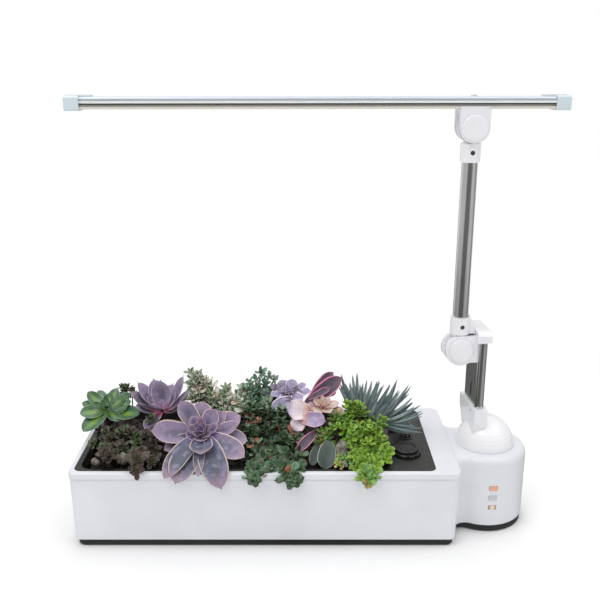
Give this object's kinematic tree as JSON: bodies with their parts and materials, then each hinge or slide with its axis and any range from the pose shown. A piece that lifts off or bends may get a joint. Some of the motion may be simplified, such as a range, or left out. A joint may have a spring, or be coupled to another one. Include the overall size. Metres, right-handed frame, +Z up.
{
  "type": "hydroponic garden",
  "caption": "Countertop hydroponic garden: planted tray on a long water tub, with a pump tower whose dome carries a hinged arm and LED bar.",
  "frame": {"origin": "on the table, under the middle of the whole footprint", "axes": "+X along the planter to the tower, +Y away from the front, +Z up"},
  "size_m": [0.5188, 0.1796, 0.4716],
  "materials": {
    "white_plastic": "gloss",
    "lamp_white": "gloss",
    "base_black": "matte",
    "tray_black": "gloss",
    "black_plastic": "satin",
    "rubber": "matte",
    "steel": "polished",
    "screw_steel": "satin",
    "aluminium": "satin",
    "diffuser": "satin",
    "board_green": "satin",
    "hose": "satin",
    "float_white": "satin",
    "button_warm": "gloss",
    "button_grey": "gloss",
    "medium": "matte",
    "stone": "matte",
    "leaf_green": "satin",
    "leaf_purple": "satin",
    "leaf_lilac": "satin",
    "leaf_dark": "satin",
    "leaf_variegated": "satin",
    "leaf_sedum": "satin",
    "leaf_blue": "satin",
    "leaf_lime": "satin"
  },
  "bodies": {
    "housing": {"base_tray": "base_black", "base_screws": "screw_steel", "rubber_feet": "rubber", "trough_tub": "white_plastic", "top_housing": "white_plastic", "control_board": "board_green", "board_screws": "screw_steel", "dc_inlet": "black_plastic", "pump_body": "black_plastic", "pump_cover": "black_plastic", "suction_feet": "rubber", "pump_hose": "hose"},
    "impeller": {"pump_impeller": "float_white"},
    "pump_button": {"pump_button": "button_warm"},
    "timer_button": {"timer_button": "button_grey"},
    "light_button": {"light_button": "button_warm"},
    "growing_tray": {"grow_tray": "tray_black", "planting_cups": "black_plastic", "growing_medium": "medium", "fill_port_collar": "tray_black", "level_tube": "black_plastic", "green_rosette": "leaf_green", "upright_rosette": "leaf_purple", "large_rosette": "leaf_lilac", "lilac_rosette": "leaf_lilac", "pink_rosette": "leaf_lilac", "spoon_rosette": "leaf_sedum", "dark_rosettes": "leaf_dark", "variegated_sedum": "leaf_variegated", "jade_shrub": "leaf_sedum", "green_sedum": "leaf_sedum", "lime_sedum": "leaf_lime", "blue_fingers": "leaf_blue", "stones": "stone"},
    "fill_cap": {"fill_cap": "black_plastic"},
    "float": {"level_float": "float_white"},
    "turret": {"turret_dome": "lamp_white", "turret_keeper": "black_plastic", "mast_holder": "lamp_white", "mast_tube": "steel", "holder_screw": "screw_steel", "mast_head": "lamp_white", "lower_hinge_pin": "screw_steel", "lower_hinge_covers": "lamp_white"},
    "arm": {"lower_collar": "lamp_white", "lower_collar_screw": "screw_steel", "arm_tube": "steel", "upper_collar": "lamp_white", "upper_collar_screw": "screw_steel"},
    "lamp_bar": {"upper_fork": "lamp_white", "upper_hinge_pin": "screw_steel", "upper_hinge_covers": "lamp_white", "bar_channel": "aluminium", "light_strip": "float_white", "diffuser": "diffuser", "left_end_cap": "lamp_white", "right_end_cap": "lamp_white", "bar_screw": "screw_steel"}
  },
  "joints": [
    {"name": "turret_turn", "type": "hinge", "parent": "housing", "child": "turret", "pos_m": [0.20147, -0.00016, 0.089], "axis": [0, 0, 1], "range_deg": [-90, 90]},
    {"name": "lower_hinge", "type": "hinge", "parent": "turret", "child": "arm", "pos_m": [0.16447, -0.00613, 0.204], "axis": [-0.0958, 0.9954, 0], "range_deg": [-32, 0]},
    {"name": "upper_hinge", "type": "hinge", "parent": "arm", "child": "lamp_bar", "pos_m": [0.16447, -0.00613, 0.44], "axis": [-0.0262, 0.9997, 0], "range_deg": [-35, 90]},
    {"name": "tray_lift", "type": "slide", "parent": "housing", "child": "growing_tray", "axis": [0, 0, 1], "range_m": [0, 0.11]},
    {"name": "fill_cap_lift", "type": "slide", "parent": "growing_tray", "child": "fill_cap", "axis": [0, 0, 1], "range_m": [0, 0.03]},
    {"name": "float_rise", "type": "slide", "parent": "growing_tray", "child": "float", "axis": [0, 0, 1], "range_m": [-0.012, 0]},
    {"name": "impeller_spin", "type": "hinge", "parent": "housing", "child": "impeller", "pos_m": [0.09447, 0.04384, 0.0286], "axis": [1, 0, 0], "continuous": true},
    {"name": "pump_button_press", "type": "slide", "parent": "housing", "child": "pump_button", "axis": [0, 1, 0], "range_m": [0, 0.0006], "stiffness_N_per_m": 400},
    {"name": "timer_button_press", "type": "slide", "parent": "housing", "child": "timer_button", "axis": [0, 1, 0], "range_m": [0, 0.0006], "stiffness_N_per_m": 400},
    {"name": "light_button_press", "type": "slide", "parent": "housing", "child": "light_button", "axis": [0, 1, 0], "range_m": [0, 0.0006], "stiffness_N_per_m": 400}
  ]
}
